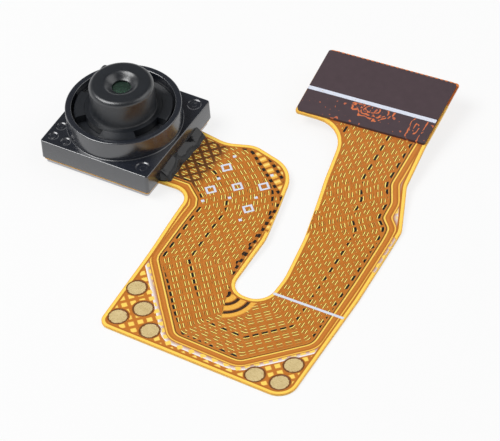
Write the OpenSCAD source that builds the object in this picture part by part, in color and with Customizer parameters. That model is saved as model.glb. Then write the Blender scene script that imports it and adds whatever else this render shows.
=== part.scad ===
// Fixed-focus camera module on a folded flexible circuit with a plug-in end.
// Frame: origin on the optical axis, at the underside of the base plate. Z is up, along
// the optical axis. X points to the side where the circuit leaves the head, and Y
// points along the second arm of the circuit to its contact end. Millimetres.

/* [Camera head] */
// Side of the square foot of the lens holder
head_w = 6.85; // [6.6:0.05:7.1]
// Height of the foot of the lens holder
foot_h = 1.22; // [1.15:0.01:1.5]
// Thickness of the foot's side walls
foot_wall = 0.5; // [0.4:0.02:0.54]
// Radius on the foot's upright corners
foot_corner_r = 0.17; // [0.1:0.01:0.3]
// Height of the space for the sensor inside the foot
cavity_h = 0.8; // [0.76:0.01:0.84]
// Thickness of the roof between the sensor and the barrel
roof_t = 0.28; // [0.24:0.01:0.32]
// Distance from the side of the foot to the collar
collar_inset = 0.2; // [0.15:0.01:0.25]
// Thickness of the collar's wall
collar_wall = 0.35; // [0.3:0.01:0.4]
// Height of the collar above the foot
collar_h = 1.24; // [1.2:0.01:1.8]
// Diameter of the round ejector marks on the foot
mark_d = 0.8; // [0.5:0.05:0.9]
// Depth of the ejector marks
mark_depth = 0.03; // [0.02:0.01:0.06]
// Distance of the ejector marks from the foot's sides
mark_inset = 0.64; // [0.6:0.01:0.7]

/* [Base plate and glue] */
// Thickness of the steel plate under the head
plate_t = 0.2; // [0.15:0.01:0.4]
// Distance from the side of the foot to the edge of the plate
plate_inset = 0.15; // [0.05:0.01:0.3]
// Thickness of the glue between plate and circuit
plate_glue_t = 0.03; // [0.02:0.005:0.05]
// Thickness of the glue between circuit and lens holder
foot_glue_t = 0.02; // [0.02:0.005:0.05]
// Reach of the glue bead over the circuit
bead_reach = 0.58; // [0.4:0.02:0.8]
// Distance from the neck's near edge to the end of the glue bead
bead_inset = 0.1; // [0.05:0.01:0.3]
// Height of the glue bead on the side of the foot
bead_h = 0.64; // [0.4:0.02:0.9]
// Thickness of the glue bead along its upper and lower edges
bead_edge = 0.1; // [0.06:0.01:0.12]

/* [Lens barrel] */
// Diameter of the nose
nose_d = 3.6; // [3.5:0.01:3.8]
// Height of the nose above the rim of the collar
nose_rise = 1.6; // [1.58:0.01:1.8]
// Radius on the edge of the nose
nose_edge_r = 0.28; // [0.1:0.01:0.35]
// Diameter of the cone around the aperture
cone_d = 1.9; // [1.5:0.05:2.2]
// Depth of the cone around the aperture
cone_depth = 0.3; // [0.25:0.01:0.33]
// Diameter of the aperture
aperture_d = 1.05; // [0.9:0.01:1.2]
// Thickness of the lip that forms the aperture
lip_t = 0.08; // [0.06:0.01:0.1]
// Gap between the barrel's flange and the collar
flange_gap = 0.15; // [0.1:0.01:0.2]
// Drop from the rim of the collar to the flange
flange_drop = 0.12; // [0.04:0.01:0.15]
// Height of the plain band under the top of the flange
flange_h = 0.5; // [0.3:0.01:0.6]
// Radial clearance of the barrel's thread in the collar
thread_gap = 0.02; // [0.01:0.005:0.04]
// Space between the barrel and the roof, left for focusing
focus_gap = 0.12; // [0.08:0.01:0.16]
// Number of key notches in the flange
notches = 4; // [2:1:6]
// Angle that each notch spans
notch_angle = 45; // [30:1:50]
// Direction of the first notch
notch_phase = 68; // [0:1:90]
// Radius of the notches' inner wall
notch_r = 2.15; // [2.1:0.01:2.3]
// Depth of the notches
notch_depth = 0.45; // [0.3:0.01:0.48]

/* [Lenses] */
// Radius of the first, second and third lens seats
lens_seat_r = [1.1, 1.3, 1.48];
// Edge thicknesses of the first, second and third lens
lens_edge_t = [0.33, 0.4, 0.4];
// Radius of the rear lens seat
rear_seat_r = 2; // [1.97:0.01:2.02]
// Edge thickness of the rear lens
rear_edge_t = 0.58; // [0.5:0.01:0.62]
// Radial clearance of the lenses in the barrel
lens_gap = 0.01; // [0.005:0.005:0.02]
// Clear radii of the first, second, third and rear lens
lens_clear_r = [0.85, 0.9, 1.1, 1.4];
// Bulge of each lens's front face, from the first to the rear lens
lens_front_sag = [0.08, -0.08, -0.1, -0.06];
// Bulge of each lens's back face, from the first to the rear lens
lens_back_sag = [0.04, 0.1, -0.15, 0.15];
// Depth and radius of the relief in front of the first lens
lens_relief = [0.1, 0.9];
// Radii of the holes in the light shades
shade_hole_r = [0.7, 0.9];
// Radius of the hole in the spacer ring
spacer_hole_r = 1.15; // [1.12:0.01:1.3]
// Radius of the hole in the retaining ring
retainer_hole_r = 1.5; // [1.3:0.01:1.65]
// Thickness of the light shades
shade_t = 0.03; // [0.02:0.005:0.05]
// Thickness of the spacer ring
spacer_t = 0.22; // [0.2:0.01:0.26]
// Thickness of the retaining ring
retainer_t = 0.3; // [0.2:0.01:0.35]

/* [Filter and sensor] */
// Distance from the walls of the foot to the infrared filter, along X and along Y
filter_margin = [0.75, 1.1];
// Thickness of the infrared filter
filter_t = 0.21; // [0.18:0.01:0.25]
// Depth of the filter's seat in the roof
filter_seat = 0.12; // [0.1:0.01:0.15]
// Clearance round the filter
filter_gap = 0.03; // [0.02:0.005:0.05]
// Lap of the filter over the edge of the light window
filter_lap = 0.35; // [0.25:0.01:0.4]
// Distance from the walls of the foot to the sensor chip, along X and along Y
sensor_margin = [0.85, 1.25];
// Thickness of the sensor chip
sensor_t = 0.2; // [0.16:0.01:0.22]
// Thickness of the glue under the sensor
die_glue_t = 0.03; // [0.02:0.005:0.05]
// Number of bond wires on each side of the sensor
wires = 9; // [6:1:10]
// Distance from the sensor's corners to the first bond wire
wire_margin = 0.28; // [0.2:0.01:0.4]
// Distance from the sensor's edge to the wires' ends, on the sensor and on the board
wire_reach = [0.1, 0.4];
// Thickness of a bond wire
wire_t = 0.03; // [0.02:0.005:0.04]
// Height of a bond wire's loop above the sensor
wire_loop = 0.1; // [0.08:0.01:0.16]
// Fall of a bond wire's loop towards its outer end
wire_fall = 0.02; // [0.01:0.01:0.04]
// Size of the bypass capacitors along X, along Y and in height
capacitor_size = [0.6, 0.3, 0.3];
// Distance between the capacitors
capacitor_pitch = 1.2; // [1:0.05:1.25]
// Length of the copper lands under the wires and the capacitors
land_l = 0.24; // [0.2:0.01:0.28]

/* [Circuit layers] */
// Thickness of each outer cover film
cover_t = 0.03; // [0.02:0.005:0.04]
// Thickness of each copper layer
copper_t = 0.02; // [0.01:0.005:0.03]
// Thickness of the core film
core_t = 0.03; // [0.02:0.005:0.05]
// Bare margin from the edge of the circuit to the copper
edge_margin = 0.2; // [0.15:0.01:0.3]

/* [Circuit shape] */
// Length of the neck from the head to the first arm's outer edge
neck_l = 2.03; // [1.9:0.01:2.4]
// Position of the neck's near edge along Y
neck_near = -2.31; // [-2.5:0.01:-2.2]
// Position of the neck's far edge along Y
neck_far = 2.09; // [1.9:0.01:2.3]
// Width of the first arm
arm_a_w = 5.5; // [5.3:0.05:5.9]
// Width of the slot between the arms
slot_w = 2.3; // [2.2:0.02:2.8]
// Width of the second arm at the bottom of the slot
arm_b_w = 4.5; // [4.4:0.05:4.9]
// Position of the bottom of the slot along Y
slot_y = -7.76; // [-8.5:0.02:-7.5]
// Width of the cross piece below the slot
cross_w = 5.35; // [5.2:0.05:5.8]
// Radius of the slot's corners
slot_r = 1.05; // [0.8:0.05:1.1]
// Radius of the outer corner below the first arm
outer_r = 0.65; // [0.4:0.05:0.9]
// Distance from the sides of the foot to the edge of the board under it
board_inset = 0.08; // [0.05:0.01:0.1]
// Radius on the corners of the board
board_r = 0.15; // [0.1:0.01:0.2]
// Distance from the walls of the foot to the opening of the cover film on the board
opening_inset = 0.1; // [0.05:0.01:0.15]

/* [Contact end] */
// Width of the contact end
end_w = 7.95; // [7.7:0.05:8.4]
// Length of the contact end
end_l = 4.65; // [4.4:0.05:5.2]
// Turn of the contact end in plan
end_turn = 4; // [2:0.5:5]
// Offset along X from the slot's far edge back to the middle of the contact end
end_back = 1.88; // [1.6:0.02:2.2]
// Position of the middle of the contact end along Y
end_y = 8.03; // [7.8:0.01:9]
// Radius on the corners of the contact end
end_r = 0.2; // [0.1:0.02:0.4]
// Rise of the contact end, as height over length
end_slope = 0.153; // [0.1:0.005:0.2]
// Number of contacts
contacts = 24; // [20:1:25]
// Distance between contacts
contact_pitch = 0.3; // [0.28:0.01:0.31]
// Width of a contact
contact_w = 0.18; // [0.12:0.01:0.22]
// Length of a contact
contact_l = 2.9; // [2.5:0.1:3.4]
// Width of the bare strip along the contact edge
tab_l = 0.23; // [0.2:0.01:0.3]
// Thickness of the stiffener film
stiffener_t = 0.14; // [0.1:0.01:0.2]
// Thickness of the glue under the stiffener film
stiffener_glue_t = 0.03; // [0.02:0.005:0.04]
// Distance from the sides of the end to the stiffener film
stiffener_inset = 0.08; // [0.05:0.01:0.12]

/* [Traces and pads] */
// Number of signal traces
traces = 17; // [12:1:17]
// Distance between signal traces
trace_pitch = 0.185; // [0.17:0.005:0.19]
// Width of a signal trace
trace_w = 0.11; // [0.08:0.01:0.13]
// Offset and width of each guard trace, outwards from the outermost signal trace
guards = [[0.2, 0.1], [0.38, 0.18], [0.58, 0.12]];
// Distance from the guard traces to the corner mesh
mesh_gap = 0.06; // [0.04:0.01:0.1]
// Diameter of the test pads
pad_d = 1.05; // [0.9:0.01:1.1]
// Gap between a test pad and the copper mesh round it
pad_gap = 0.1; // [0.06:0.01:0.14]
// Distance between the lines of the corner mesh, which run diagonally
mesh_pitch = 0.51; // [0.48:0.01:0.6]
// Side of a window of the corner mesh
mesh_window = 0.3; // [0.2:0.01:0.34]

/* [Printed lines] */
// Thickness of the ink
ink_t = 0.01; // [0.01:0.005:0.02]
// Width of the line across the contact end
end_line_w = 0.23; // [0.1:0.01:0.3]
// Distance from the middle of the contact end back to its line
end_line_back = 0.66; // [0.4:0.01:0.9]
// Width of the line across the second arm
arm_line_w = 0.16; // [0.1:0.01:0.3]
// Stroke width of the printed marks
mark_stroke = 0.12; // [0.08:0.01:0.16]
// Size of a printed mark
mark_size = 0.56; // [0.4:0.02:0.7]
// Distance between the printed marks in a column
mark_pitch = 0.95; // [0.8:0.01:1.1]
// Each column of marks: distance from the arm's outer edge, top along Y, and number
mark_columns = [[0.7, 1.24, 5], [2.05, -0.76, 2], [3.3, 0.84, 5]];
// Shift of each mark sideways from the one above it
mark_lean = 0.05; // [0:0.01:0.1]
// Distance from the sides of the second arm to its line
line_inset = [0.03, 0.12];
// Distance from the bottom of the slot up to the line across the second arm
line_rise = 0.8; // [0.4:0.05:1.2]

/* [Hidden] */
$fn = 96;
// A cut passes this far through the face that it opens
cut = 0.5;

// Levels in the circuit, measured from its underside
copper_bottom_z = cover_t;
core_z = copper_bottom_z + copper_t;
copper_top_z = core_z + core_t;
cover_top_z = copper_top_z + copper_t;
flex_t = cover_top_z + cover_t;
stiffener_z = flex_t + stiffener_glue_t;

// Levels in the head, measured from the underside of the base plate
head_lift = plate_t + plate_glue_t;
board_z = head_lift + copper_top_z;
land_z = board_z + copper_t;
sensor_z = board_z + die_glue_t;
foot_z = head_lift + flex_t + foot_glue_t;
foot_top = foot_z + foot_h;
roof_z = foot_z + cavity_h;
bore_z = roof_z + roof_t;
rim_z = foot_top + collar_h;
flange_z = rim_z - flange_drop;
nose_z = rim_z + nose_rise;
barrel_z = bore_z + focus_gap;
collar_d = head_w - 2 * collar_inset;
collar_bore = collar_d - 2 * collar_wall;
flange_d = collar_bore - 2 * flange_gap;
thread_d = collar_bore - 2 * thread_gap;
cavity_w = head_w - 2 * foot_wall;
filter_size = [cavity_w - 2 * filter_margin.x, cavity_w - 2 * filter_margin.y, filter_t];
window_size = [filter_size.x - 2 * filter_lap, filter_size.y - 2 * filter_lap];
sensor_size = [cavity_w - 2 * sensor_margin.x, cavity_w - 2 * sensor_margin.y, sensor_t];
wire_pitch = (sensor_size.y - 2 * wire_margin) / (wires - 1);

// Levels of the lens stack, from the aperture down
lip_z = nose_z - cone_depth - lip_t;
lens_1_top = lip_z - lens_relief[0];
lens_1_bottom = lens_1_top - lens_edge_t[0];
lens_2_top = lens_1_bottom - shade_t;
lens_2_bottom = lens_2_top - lens_edge_t[1];
lens_3_top = lens_2_bottom - shade_t;
lens_3_bottom = lens_3_top - lens_edge_t[2];
rear_top = lens_3_bottom - spacer_t;
rear_bottom = rear_top - rear_edge_t;

// Edges of the arms and of the cross piece
board_w = head_w - 2 * board_inset;
half_board = board_w / 2;
arm_a_x0 = head_w / 2 + neck_l;
arm_a_x1 = arm_a_x0 + arm_a_w;
arm_b_x0 = arm_a_x1 + slot_w;
arm_b_x1 = arm_b_x0 + arm_b_w;
cross_y = slot_y - cross_w;

// The circuit rises to the base plate along the first arm, and bends up to the
// contact end along the second arm. Both curves are level at the slot's bottom.
ramp_y = [slot_y, -head_w / 2];
bend_y = [end_y - 9.84, end_y - 4.14];
bend_steps = 6;
reach = 40;

function unit(v) = v / norm(v);
function reversed(list) = [for (i = [len(list) - 1:-1:0]) list[i]];
function smooth(t) = t * t * (3 - 2 * t);
function stations(ends) = [for (i = [0:bend_steps]) ends[0] + (ends[1] - ends[0]) * i / bend_steps];
function ramp_lift(y) = head_lift * smooth(min(1, max(0, (y - ramp_y[0]) / (ramp_y[1] - ramp_y[0]))));
function bend_lift(y) =
    let (run = bend_y[1] - bend_y[0], t = min(run, max(0, y - bend_y[0])))
    end_slope * (t * t / (2 * run) + max(0, y - bend_y[1]));

// Points of a round corner of radius p.z at p, between its neighbours a and b
function corner(a, p, b) =
    let (
        at = [p.x, p.y],
        u = unit([a.x, a.y] - at),
        v = unit([b.x, b.y] - at),
        half = acos(u * v) / 2,
        centre = at + unit(u + v) * p.z / sin(half),
        start = at + u * p.z / tan(half) - centre,
        turn = cross(v, u) > 0 ? 1 : -1,
        sweep = turn * (180 - 2 * half),
        steps = max(2, ceil(abs(sweep) / 12))
    )
    p.z <= 0 ? [at] :
    [for (k = [0:steps]) let (a0 = sweep * k / steps)
        centre + [start.x * cos(a0) - start.y * sin(a0), start.x * sin(a0) + start.y * cos(a0)]];
// A closed outline from corners given as [x, y, radius]
function rounded(c) =
    let (n = len(c))
    [for (i = [0:n - 1]) each corner(c[(i + n - 1) % n], c[i], c[(i + 1) % n])];
// The corners c of a closed outline moved inwards by d, with radii to match
function inset(c, d) =
    let (n = len(c))
    [for (i = [0:n - 1])
        let (
            p = [c[i].x, c[i].y],
            before = c[(i + n - 1) % n],
            after = c[(i + 1) % n],
            a = unit(p - [before.x, before.y]),
            b = unit([after.x, after.y] - p),
            q = p + d * [-a.y - b.y, a.x + b.x] / (1 + a * b),
            r = cross(a, b) > 0 ? c[i].z - d : c[i].z + d
        )
        [q.x, q.y, max(0, r)]];
// The path p moved sideways by d, to its left, with mitred corners
function shifted(p, d) =
    [for (i = [0:len(p) - 1])
        let (
            a = unit(i > 0 ? p[i] - p[i - 1] : p[1] - p[0]),
            b = unit(i < len(p) - 1 ? p[i + 1] - p[i] : p[i] - p[i - 1])
        )
        p[i] + d * [-a.y - b.y, a.x + b.x] / (1 + a * b)];

// Middle of the contact end
end_centre = [arm_b_x0 - end_back, end_y];
// A corner of the contact end: u is -1 or 1 across it, and v is -1 or 1 along it
function end_spot(u, v) = on_end([u * end_w / 2, v * end_l / 2]);
// A point given from the middle of the contact end, in the frame of the part
function on_end(p) =
    end_centre + [p.x * cos(end_turn) - p.y * sin(end_turn), p.x * sin(end_turn) + p.y * cos(end_turn)];

// Outline of the whole circuit, from the board under the head round to the neck
flex_corners = [
    [-half_board, -half_board, board_r],
    [half_board, -half_board, board_r],
    [half_board, neck_near, 0.1],
    [arm_a_x0 - 0.05, neck_near + 0.05, 1],
    [arm_a_x0 + 0.46, cross_y + 0.11, outer_r],
    [arm_b_x1 + 0.2, cross_y - 0.4, 1.05],
    [arm_b_x1 - 0.1, slot_y + 2.45, 9],
    [arm_b_x1 - 0.57, end_y - 7.74, 1.05],
    [arm_b_x1 - 1.9, end_y - 4.78, 1.35],
    [end_spot(1, -1).x, end_spot(1, -1).y, 2],
    [end_spot(1, 1).x, end_spot(1, 1).y, end_r],
    [end_spot(-1, 1).x, end_spot(-1, 1).y, end_r],
    [end_spot(-1, -1).x, end_spot(-1, -1).y, end_r],
    [arm_b_x0 - 2.53, end_y - 2.44, 2],
    [arm_b_x0 - 1.77, end_y - 6.14, 5],
    [arm_b_x0 - 0.57, slot_y + 5.25, 5],
    [arm_b_x0, slot_y + 2.15, 5],
    [arm_b_x0, slot_y, slot_r],
    [arm_a_x1, slot_y, slot_r],
    [arm_a_x1, slot_y + 4.15, 4],
    [arm_a_x1 - 0.57, slot_y + 6.55, 3],
    [arm_a_x1 - 1.33, neck_far - 0.33, 2.2],
    [arm_a_x0 + 1.3, neck_far + 0.4, 1.5],
    [arm_a_x0 - 0.24, neck_far - 0.13, 1.9],
    [half_board, neck_far + 0.14, 0],
    [half_board, half_board, board_r],
    [-half_board, half_board, board_r]
];

function contact_x(i) = (i - (contacts - 1) / 2) * contact_pitch;

// Route of the outermost signal trace, from the board to the contact end
route = [
    [cavity_w / 2, neck_near + 0.8],
    [arm_a_x0 - 0.35, neck_near + 0.8],
    [arm_a_x0 + 0.72, neck_near - 0.05],
    [arm_a_x0 + 1.03, neck_near - 0.7],
    [arm_a_x0 + 1.03, slot_y + 0.57],
    [arm_a_x1 - 0.7, cross_y + 1.44],
    [arm_b_x0 + 0.9, cross_y + 1.22],
    [arm_b_x1 - 0.9, slot_y - 1.53],
    [arm_b_x1 - 1.15, slot_y + 3.55],
    [arm_b_x1 - 1.67, end_y - 7.64],
    [arm_b_x1 - 2.87, end_y - 4.88],
    [arm_b_x1 - 3.06, end_y - 2.74]
];

// Centres of the test pads, below the first arm and below the second
pad_spots = [
    [arm_a_x0 + 0.97, cross_y + 3.36],
    [arm_a_x0 + 2.1, cross_y + 2.14],
    [arm_a_x0 + 1.18, cross_y + 1.04],
    [arm_a_x0 + 3.27, cross_y + 0.86],
    [arm_b_x1 - 0.79, cross_y + 2.01],
    [arm_b_x1 - 0.81, cross_y + 0.57],
    [arm_b_x1 - 2.3, cross_y + 0.49]
];

// The two arms bend on their own, so the circuit is cut along the slot
module zone(side) {
    middle = arm_b_x0 - slot_w / 2;
    over_head = head_w / 2 + 0.7;
    line = [
        [middle, -reach],
        [middle, slot_y + 1],
        [arm_b_x0 - 1.5, slot_y + 4.45],
        [arm_b_x0 - 2.55, slot_y + 8.25],
        [arm_b_x0 - 3.8, over_head],
        [-reach, over_head]
    ];
    rest = side < 0 ? [[-reach, -reach]] : [[-reach, reach], [reach, reach], [reach, -reach]];
    polygon(concat(line, rest));
}

// The layer from z0 to z1 above the underside of one arm, as wide as the whole part
module arm_layer(side, z0, z1) {
    ys = concat([-reach], stations(side < 0 ? ramp_y : bend_y), [reach]);
    function lift(y) = side < 0 ? ramp_lift(y) : bend_lift(y);
    rotate([90, 0, 90])
        translate([0, 0, -reach])
            linear_extrude(2 * reach)
                polygon(concat([for (y = ys) [y, lift(y) + z0]], reversed([for (y = ys) [y, lift(y) + z1]])));
}

// A flat shape laid in the circuit between the levels z0 and z1, bent as the circuit
// is. The first arm is side -1 and the second arm is side 1.
module bent(z0, z1, sides = [-1, 1]) {
    for (side = sides)
        intersection() {
            translate([0, 0, -cut])
                linear_extrude(reach)
                    intersection() {
                        children();
                        zone(side);
                    }
            arm_layer(side, z0, z1);
        }
}

module flex_shape(margin = 0) {
    polygon(rounded(inset(flex_corners, margin)));
}

module strip(path, d, w) {
    polygon(concat(shifted(path, d - w / 2), reversed(shifted(path, d + w / 2))));
}

module box(size, z) {
    translate([-size.x / 2, -size.y / 2, z])
        cube(size);
}

module end_frame() {
    translate(end_centre)
        rotate(end_turn)
            children();
}

module square_plate(w, r) {
    h = w / 2;
    polygon(rounded([[-h, -h, r], [h, -h, r], [h, h, r], [-h, h, r]]));
}

// Head

module base_plate() {
    color("silver")
        linear_extrude(plate_t)
            square_plate(head_w - 2 * plate_inset, foot_corner_r);
}

module base_plate_glue() {
    color("gray")
        translate([0, 0, plate_t])
            linear_extrude(plate_glue_t)
                square_plate(head_w - 2 * plate_inset, foot_corner_r);
}

module foot_glue() {
    color("dimgray")
        translate([0, 0, foot_z - foot_glue_t])
            linear_extrude(foot_glue_t)
                difference() {
                    square_plate(board_w, board_r);
                    square(cavity_w, center = true);
                }
}

module ejector_marks() {
    spot = head_w / 2 - mark_inset;
    for (p = [[spot, -spot], [spot, spot], [-spot, spot]])
        translate([p.x, p.y, foot_top - mark_depth])
            cylinder(d = mark_d, h = cut);
    // Two small gate marks and an ejector mark share the near corner
    for (p = [[-spot - 0.15, -spot + 0.85], [-spot - 0.15, -spot], [-spot + 0.7, -spot - 0.1]])
        translate([p.x, p.y, foot_top - mark_depth])
            cylinder(d = mark_d * 0.75, h = cut);
}

module lens_holder() {
    color([0.09, 0.1, 0.12])
        difference() {
            union() {
                translate([0, 0, foot_z])
                    linear_extrude(foot_h)
                        square_plate(head_w, foot_corner_r);
                translate([0, 0, foot_top])
                    cylinder(d = collar_d, h = collar_h);
            }
            translate([0, 0, bore_z])
                cylinder(d = collar_bore, h = collar_h + foot_h);
            box([cavity_w, cavity_w, cavity_h + cut], foot_z - cut);
            box([window_size.x, window_size.y, roof_t + 2 * cut], roof_z - cut);
            box([filter_size.x + 2 * filter_gap, filter_size.y + 2 * filter_gap, filter_seat + cut], roof_z - cut);
            ejector_marks();
        }
}

module exit_glue_bead() {
    top = head_lift + flex_t;
    wall = head_w / 2;
    color([0.06, 0.06, 0.07])
        translate([0, neck_far, 0])
            rotate([90, 0, 0])
                linear_extrude(neck_far - neck_near - bead_inset)
                    polygon([
                        [wall, top],
                        [wall + bead_reach, top],
                        [wall + bead_reach - bead_edge, top + bead_edge],
                        [wall + bead_edge, top + bead_h - bead_edge],
                        [wall, top + bead_h]
                    ]);
}

// Lens barrel and what it holds

module barrel_body() {
    edge = [for (a = [90:-15:0]) [nose_d / 2, nose_z] - nose_edge_r * [1 - cos(a), 1 - sin(a)]];
    rotate_extrude()
        polygon([
            [cone_d / 2, nose_z],
            each edge,
            [nose_d / 2, flange_z],
            [flange_d / 2, flange_z],
            [flange_d / 2, flange_z - flange_h],
            [thread_d / 2, flange_z - flange_h],
            [thread_d / 2, barrel_z],
            [rear_seat_r, barrel_z],
            [rear_seat_r, rear_top],
            [lens_seat_r[2], rear_top],
            [lens_seat_r[2], lens_3_top],
            [lens_seat_r[1], lens_3_top],
            [lens_seat_r[1], lens_2_top],
            [lens_seat_r[0], lens_2_top],
            [lens_seat_r[0], lens_1_top],
            [lens_relief[1], lens_1_top],
            [lens_relief[1], lip_z],
            [aperture_d / 2, lip_z],
            [aperture_d / 2, lip_z + lip_t]
        ]);
}

module lens_barrel() {
    color([0.05, 0.05, 0.06])
        difference() {
            barrel_body();
            for (i = [0:notches - 1])
                rotate(notch_phase - notch_angle / 2 + i * 360 / notches)
                    translate([0, 0, flange_z - notch_depth])
                        rotate_extrude(angle = notch_angle)
                            translate([notch_r, 0])
                                square([collar_d, notch_depth + cut]);
        }
}

// Lens number i, with its edge from z1 up to z0 in a seat of radius seat_r
module lens(i, seat_r, z0, z1) {
    steps = 8;
    clear_r = lens_clear_r[i];
    rs = [for (k = [0:steps]) clear_r * k / steps];
    function bulge(r) = 1 - pow(r / clear_r, 2);
    color([0.55, 0.7, 0.65])
        rotate_extrude()
            polygon(concat(
                [for (r = rs) [r, z0 + lens_front_sag[i] * bulge(r)]],
                [[seat_r - lens_gap, z0], [seat_r - lens_gap, z1]],
                reversed([for (r = rs) [r, z1 + lens_back_sag[i] * bulge(r)]])
            ));
}

module ring(edge_r, hole_r, z0, z1) {
    translate([0, 0, z1])
        difference() {
            cylinder(r = edge_r - lens_gap, h = z0 - z1);
            translate([0, 0, -cut])
                cylinder(r = hole_r, h = z0 - z1 + 2 * cut);
        }
}

module front_lens() {
    lens(0, lens_seat_r[0], lens_1_top, lens_1_bottom);
}

module second_lens() {
    lens(1, lens_seat_r[1], lens_2_top, lens_2_bottom);
}

module third_lens() {
    lens(2, lens_seat_r[2], lens_3_top, lens_3_bottom);
}

module rear_lens() {
    lens(3, rear_seat_r, rear_top, rear_bottom);
}

module front_shade() {
    color("black")
        ring(lens_seat_r[0], shade_hole_r[0], lens_1_bottom, lens_2_top);
}

module middle_shade() {
    color("black")
        ring(lens_seat_r[1], shade_hole_r[1], lens_2_bottom, lens_3_top);
}

module spacer_ring() {
    color("black")
        ring(lens_seat_r[2], spacer_hole_r, lens_3_bottom, rear_top);
}

module retaining_ring() {
    color("black")
        ring(rear_seat_r, retainer_hole_r, rear_bottom, rear_bottom - retainer_t);
}

module infrared_filter() {
    color([0.5, 0.75, 0.8])
        box(filter_size, roof_z + filter_seat - filter_size.z);
}

// Sensor and board

module die_glue() {
    color("silver")
        box([sensor_size.x, sensor_size.y, die_glue_t], board_z);
}

module image_sensor() {
    color([0.25, 0.3, 0.35])
        box(sensor_size, sensor_z);
}

// Where the wires stand on the sensor and on the board, along X
wire_in_x = sensor_size.x / 2 - wire_reach[0];
wire_out_x = sensor_size.x / 2 + wire_reach[1];
function wire_y(i) = (i - (wires - 1) / 2) * wire_pitch;

module bond_wires() {
    top = sensor_z + sensor_size.z;
    path = [
        [wire_in_x, top],
        [wire_in_x, top + wire_loop],
        [(wire_in_x + wire_out_x) / 2, top + wire_loop - wire_fall],
        [wire_out_x, top - 3 * wire_fall],
        [wire_out_x, land_z]
    ];
    color("gold")
        for (side = [0, 180], i = [0:wires - 1])
            rotate(side)
                translate([0, wire_y(i) + wire_t / 2, 0])
                    rotate([90, 0, 0])
                        linear_extrude(wire_t)
                            strip(path, 0, wire_t);
}

// Where the capacitors stand, on both sides of the sensor along Y
capacitor_y = (sensor_size.y + cavity_w) / 4;
function capacitor_x(i) = (i - 1) * capacitor_pitch;

module capacitors() {
    color("tan")
        for (side = [0, 180], i = [0:2])
            rotate(side)
                translate([capacitor_x(i), capacitor_y, 0])
                    box(capacitor_size, land_z);
}

module board_lands() {
    color("goldenrod")
        for (side = [0, 180])
            rotate(side) {
                for (i = [0:wires - 1])
                    translate([wire_out_x, wire_y(i), 0])
                        box([land_l, wire_pitch / 2, copper_t], board_z);
                for (i = [0:2], end = [-1, 1])
                    translate([capacitor_x(i) + end * (capacitor_size.x - land_l) / 2, capacitor_y, 0])
                        box([land_l, capacitor_size.y, copper_t], board_z);
            }
}

// Circuit layers, from the bottom up

module cover_film_bottom() {
    color([0.85, 0.6, 0.2])
        bent(0, copper_bottom_z)
            difference() {
                flex_shape();
                // The contacts lie bare
                end_frame()
                    translate([-end_w, end_l / 2 - contact_l])
                        square([2 * end_w, 2 * contact_l]);
            }
}

module copper_bottom() {
    color([0.75, 0.45, 0.2])
        bent(copper_bottom_z, core_z)
            difference() {
                flex_shape(edge_margin);
                end_frame()
                    translate([-end_w, -end_l / 2 + edge_margin])
                        square(2 * end_w);
            }
}

module core_film() {
    color([0.85, 0.55, 0.15])
        bent(core_z, copper_top_z)
            flex_shape();
}

// One signal trace: it follows the route, then leaves it for a contact. Traces
// nearer to the slot leave a little earlier, so that the fan keeps its gaps.
function trace_path(i) =
    let (
        d = i * trace_pitch,
        row = shifted(route, d),
        last = len(row) - 1,
        x = contact_x(contacts - 4 - i)
    )
    concat(
        [for (k = [0:last]) k < last ? row[k] : row[k] - [0, 0.2 * d]],
        [on_end([x, -0.7]), on_end([x, 0])]
    );

module signal_traces() {
    color([0.8, 0.5, 0.15])
        bent(copper_top_z, cover_top_z)
            for (i = [0:traces - 1])
                strip(trace_path(i), 0, trace_w);
}

module guard_traces() {
    color([0.85, 0.5, 0.15])
        bent(copper_top_z, cover_top_z) {
            for (guard = guards)
                strip(route, -guard[0], guard[1]);
        }
}

// The mesh fills the corners and the edge outside the outermost guard trace
mesh_start = guards[2][0] + guards[2][1] / 2 + mesh_gap;
mesh_step = mesh_pitch / sqrt(2);
mesh_columns = ceil((arm_b_x1 - arm_a_x0) / mesh_step);
mesh_rows = ceil(cross_w / mesh_step / 2);
module corner_mesh() {
    color([0.8, 0.45, 0.1])
        translate([0, 0, copper_top_z])
            linear_extrude(copper_t)
                difference() {
                    intersection() {
                        flex_shape(edge_margin);
                        polygon([
                            [-reach, slot_y - 0.8], [arm_a_x1, slot_y - 0.8], [arm_b_x0, slot_y - 1.7],
                            [reach, slot_y - 1.7], [reach, -reach], [-reach, -reach]
                        ]);
                    }
                    polygon(concat(shifted(route, -mesh_start), [[reach, reach], [-reach, reach]]));
                    for (p = pad_spots)
                        translate(p)
                            circle(d = pad_d + 2 * pad_gap);
                    for (i = [0:mesh_columns], j = [0:mesh_rows])
                        translate([arm_a_x0 + i * mesh_step, cross_y + (2 * j + i % 2 - 1) * mesh_step])
                            rotate(45)
                                square(mesh_window, center = true);
                }
}

module cover_film_top() {
    color([0.9, 0.6, 0.15])
        bent(cover_top_z, flex_t)
            difference() {
                flex_shape();
                square(cavity_w - 2 * opening_inset, center = true);
                for (p = pad_spots)
                    translate(p)
                        circle(d = pad_d);
                end_frame()
                    translate([-end_w, end_l / 2 - tab_l])
                        square([2 * end_w, 2 * tab_l]);
            }
}

module test_pads() {
    color([0.85, 0.72, 0.5])
        for (p = pad_spots)
            translate([p.x, p.y, copper_top_z])
                cylinder(d = pad_d, h = copper_t + cover_t / 2);
}

// Contact end

module contact_row(from, l) {
    end_frame()
        for (i = [0:contacts - 1])
            translate([contact_x(i) - contact_w / 2, from])
                square([contact_w, l]);
}

module contact_fingers() {
    color("gold")
        bent(copper_bottom_z, core_z, [1])
            contact_row(end_l / 2 - contact_l, contact_l);
}

module contact_tabs() {
    color([0.85, 0.5, 0.25])
        bent(copper_top_z, cover_top_z, [1])
            contact_row(end_l / 2 - tab_l, tab_l);
}

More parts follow.
